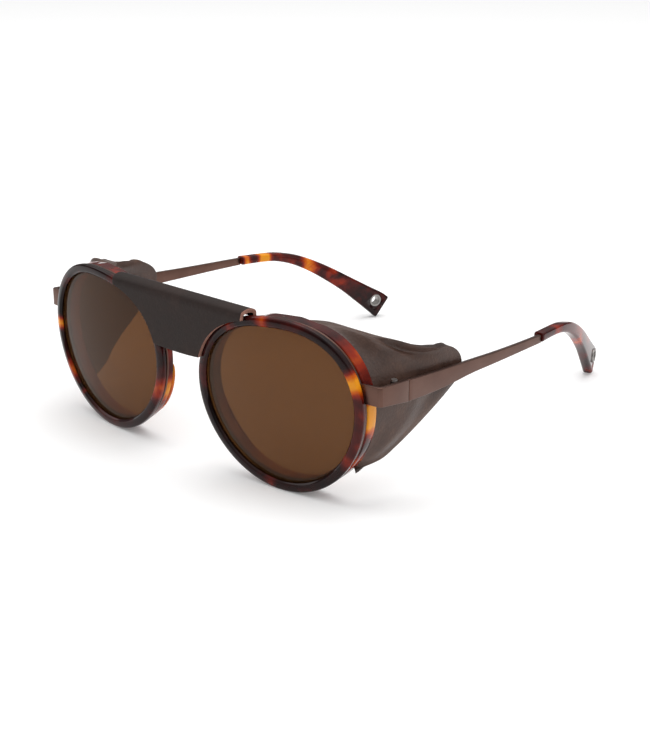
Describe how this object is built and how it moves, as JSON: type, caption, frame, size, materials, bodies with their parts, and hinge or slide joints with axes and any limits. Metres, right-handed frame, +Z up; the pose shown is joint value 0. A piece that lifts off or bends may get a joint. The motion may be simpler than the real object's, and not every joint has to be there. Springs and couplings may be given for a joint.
{
  "type": "glacier glasses",
  "caption": "Round sunglasses with acetate and metal rims, a folded leather bridge shield, leather side shields and temples that fold on hinges.",
  "frame": {"origin": "middle of the bottom of the bounding box, on the surface the glasses stand on", "axes": "+X to the wearer's left, +Y from the lenses back along the temples, +Z up"},
  "size_m": [0.1378, 0.1496, 0.0518],
  "materials": {
    "acetate_front": "polished dark red-brown tortoise acetate",
    "acetate_rear": "polished red and amber tortoise acetate",
    "acetate_tip": "polished tortoise acetate",
    "bronze_metal": "satin bronze plating",
    "leather": "fine grained dark brown leather, pale raw edges",
    "lens": "dark brown graded mineral lens",
    "steel": "satin nickel plated"
  },
  "bodies": {
    "front": {"front_rim_left": "acetate_front", "front_rim_right": "acetate_front", "eyewire_left": "bronze_metal", "eyewire_right": "bronze_metal", "rear_rim_left": "acetate_rear", "rear_rim_right": "acetate_rear", "lens_left": "lens", "lens_right": "lens", "nose_pad_left": "acetate_rear", "nose_pad_right": "acetate_rear", "side_shield_left": "leather", "side_shield_right": "leather", "shield_screw_left": "steel", "shield_screw_right": "steel", "end_piece_left": "bronze_metal", "end_piece_right": "bronze_metal", "hinge_front_left": "bronze_metal", "hinge_front_right": "bronze_metal", "hinge_screw_left": "steel", "hinge_screw_right": "steel", "bridge_bar": "bronze_metal", "brow_bar": "bronze_metal", "bridge_shield": "leather"},
    "temple_left": {"temple_left": "bronze_metal", "temple_tip_left": "acetate_tip", "cord_eyelet_left": "steel", "hinge_rear_left": "bronze_metal", "shield_tail_left": "leather", "shield_rivet_left": "steel"},
    "temple_right": {"temple_right": "bronze_metal", "temple_tip_right": "acetate_tip", "cord_eyelet_right": "steel", "hinge_rear_right": "bronze_metal", "shield_tail_right": "leather", "shield_rivet_right": "steel"}
  },
  "joints": [
    {"name": "temple_left_fold", "type": "hinge", "parent": "front", "child": "temple_left", "pos_m": [0.066, -0.05622, 0.0335], "axis": [0, 0, 1], "range_deg": [0, 78]},
    {"name": "temple_right_fold", "type": "hinge", "parent": "front", "child": "temple_right", "pos_m": [-0.066, -0.05622, 0.0335], "axis": [0, 0, -1], "range_deg": [0, 70]}
  ]
}
